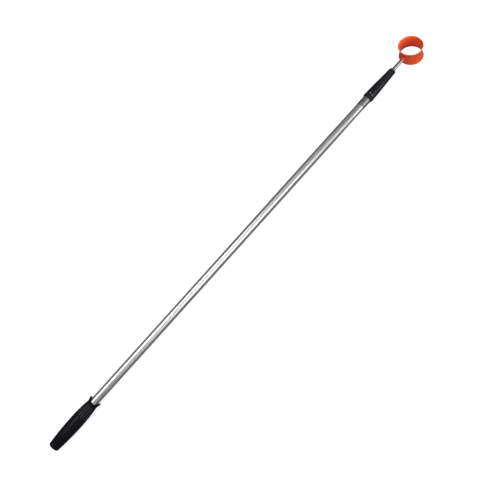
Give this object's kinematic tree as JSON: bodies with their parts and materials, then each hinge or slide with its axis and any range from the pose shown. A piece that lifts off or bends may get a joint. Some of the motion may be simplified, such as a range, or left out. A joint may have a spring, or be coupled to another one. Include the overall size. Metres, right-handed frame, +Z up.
{
  "type": "telescopic retriever pole",
  "caption": "Telescopic aluminium pole with a ribbed black grip, stepped ferrules, a black nose cone and an orange flared ring that lifts a ball from water.",
  "frame": {"origin": "centre of the grip's flat butt face, on the pole's axis", "axes": "+X along the pole from the butt to the ring head; +Z up, on the side that the ring's upper rim faces; the pole lies level"},
  "size_m": [1.1208, 0.0526, 0.0427],
  "materials": {
    "grip_rubber": "satin moulded rubber",
    "anodised_tube": "satin anodised",
    "tip_tube": "satin anodised, a little darker",
    "ferrule": "turned satin",
    "nylon": "moulded nylon",
    "bush": "natural acetal",
    "cone": "satin moulded plastic",
    "pin": "satin",
    "orange": "glossy moulded plastic"
  },
  "bodies": {
    "handle": {"grip": "grip_rubber", "butt_plug": "nylon", "outer_tube": "anodised_tube", "outer_ferrule": "ferrule", "outer_mouth_bush": "nylon"},
    "bush_2": {"friction_bush_2": "bush"},
    "section_2": {"journal_plug_2": "nylon", "tube_2": "anodised_tube", "ferrule_2": "ferrule", "mouth_bush_2": "nylon"},
    "bush_3": {"friction_bush_3": "bush"},
    "section_3": {"journal_plug_3": "nylon", "tube_3": "anodised_tube", "ferrule_3": "ferrule", "mouth_bush_3": "nylon"},
    "bush_4": {"friction_bush_4": "bush"},
    "section_4": {"journal_plug_4": "nylon", "tube_4": "anodised_tube", "ferrule_4": "ferrule", "mouth_bush_4": "nylon"},
    "bush_5": {"friction_bush_5": "bush"},
    "head": {"journal_plug_5": "nylon", "tip_tube": "tip_tube", "nose_cone": "cone", "head_pin": "pin", "ring_head": "orange"}
  },
  "joints": [
    {"name": "slide_2", "type": "slide", "parent": "handle", "child": "bush_2", "axis": [1, 0, 0], "range_m": [0, 0.812]},
    {"name": "swivel_2", "type": "hinge", "parent": "bush_2", "child": "section_2", "pos_m": [0.031, 0, 0], "axis": [1, 0, 0], "continuous": true},
    {"name": "slide_3", "type": "slide", "parent": "section_2", "child": "bush_3", "axis": [1, 0, 0], "range_m": [0, 0.792]},
    {"name": "swivel_3", "type": "hinge", "parent": "bush_3", "child": "section_3", "pos_m": [0.061, 0, 0], "axis": [1, 0, 0], "continuous": true},
    {"name": "slide_4", "type": "slide", "parent": "section_3", "child": "bush_4", "axis": [1, 0, 0], "range_m": [0, 0.769]},
    {"name": "swivel_4", "type": "hinge", "parent": "bush_4", "child": "section_4", "pos_m": [0.091, 0, 0], "axis": [1, 0, 0], "continuous": true},
    {"name": "slide_5", "type": "slide", "parent": "section_4", "child": "bush_5", "axis": [1, 0, 0], "range_m": [0, 0.745]},
    {"name": "swivel_5", "type": "hinge", "parent": "bush_5", "child": "head", "pos_m": [0.121, 0, 0], "axis": [1, 0, 0], "continuous": true}
  ]
}
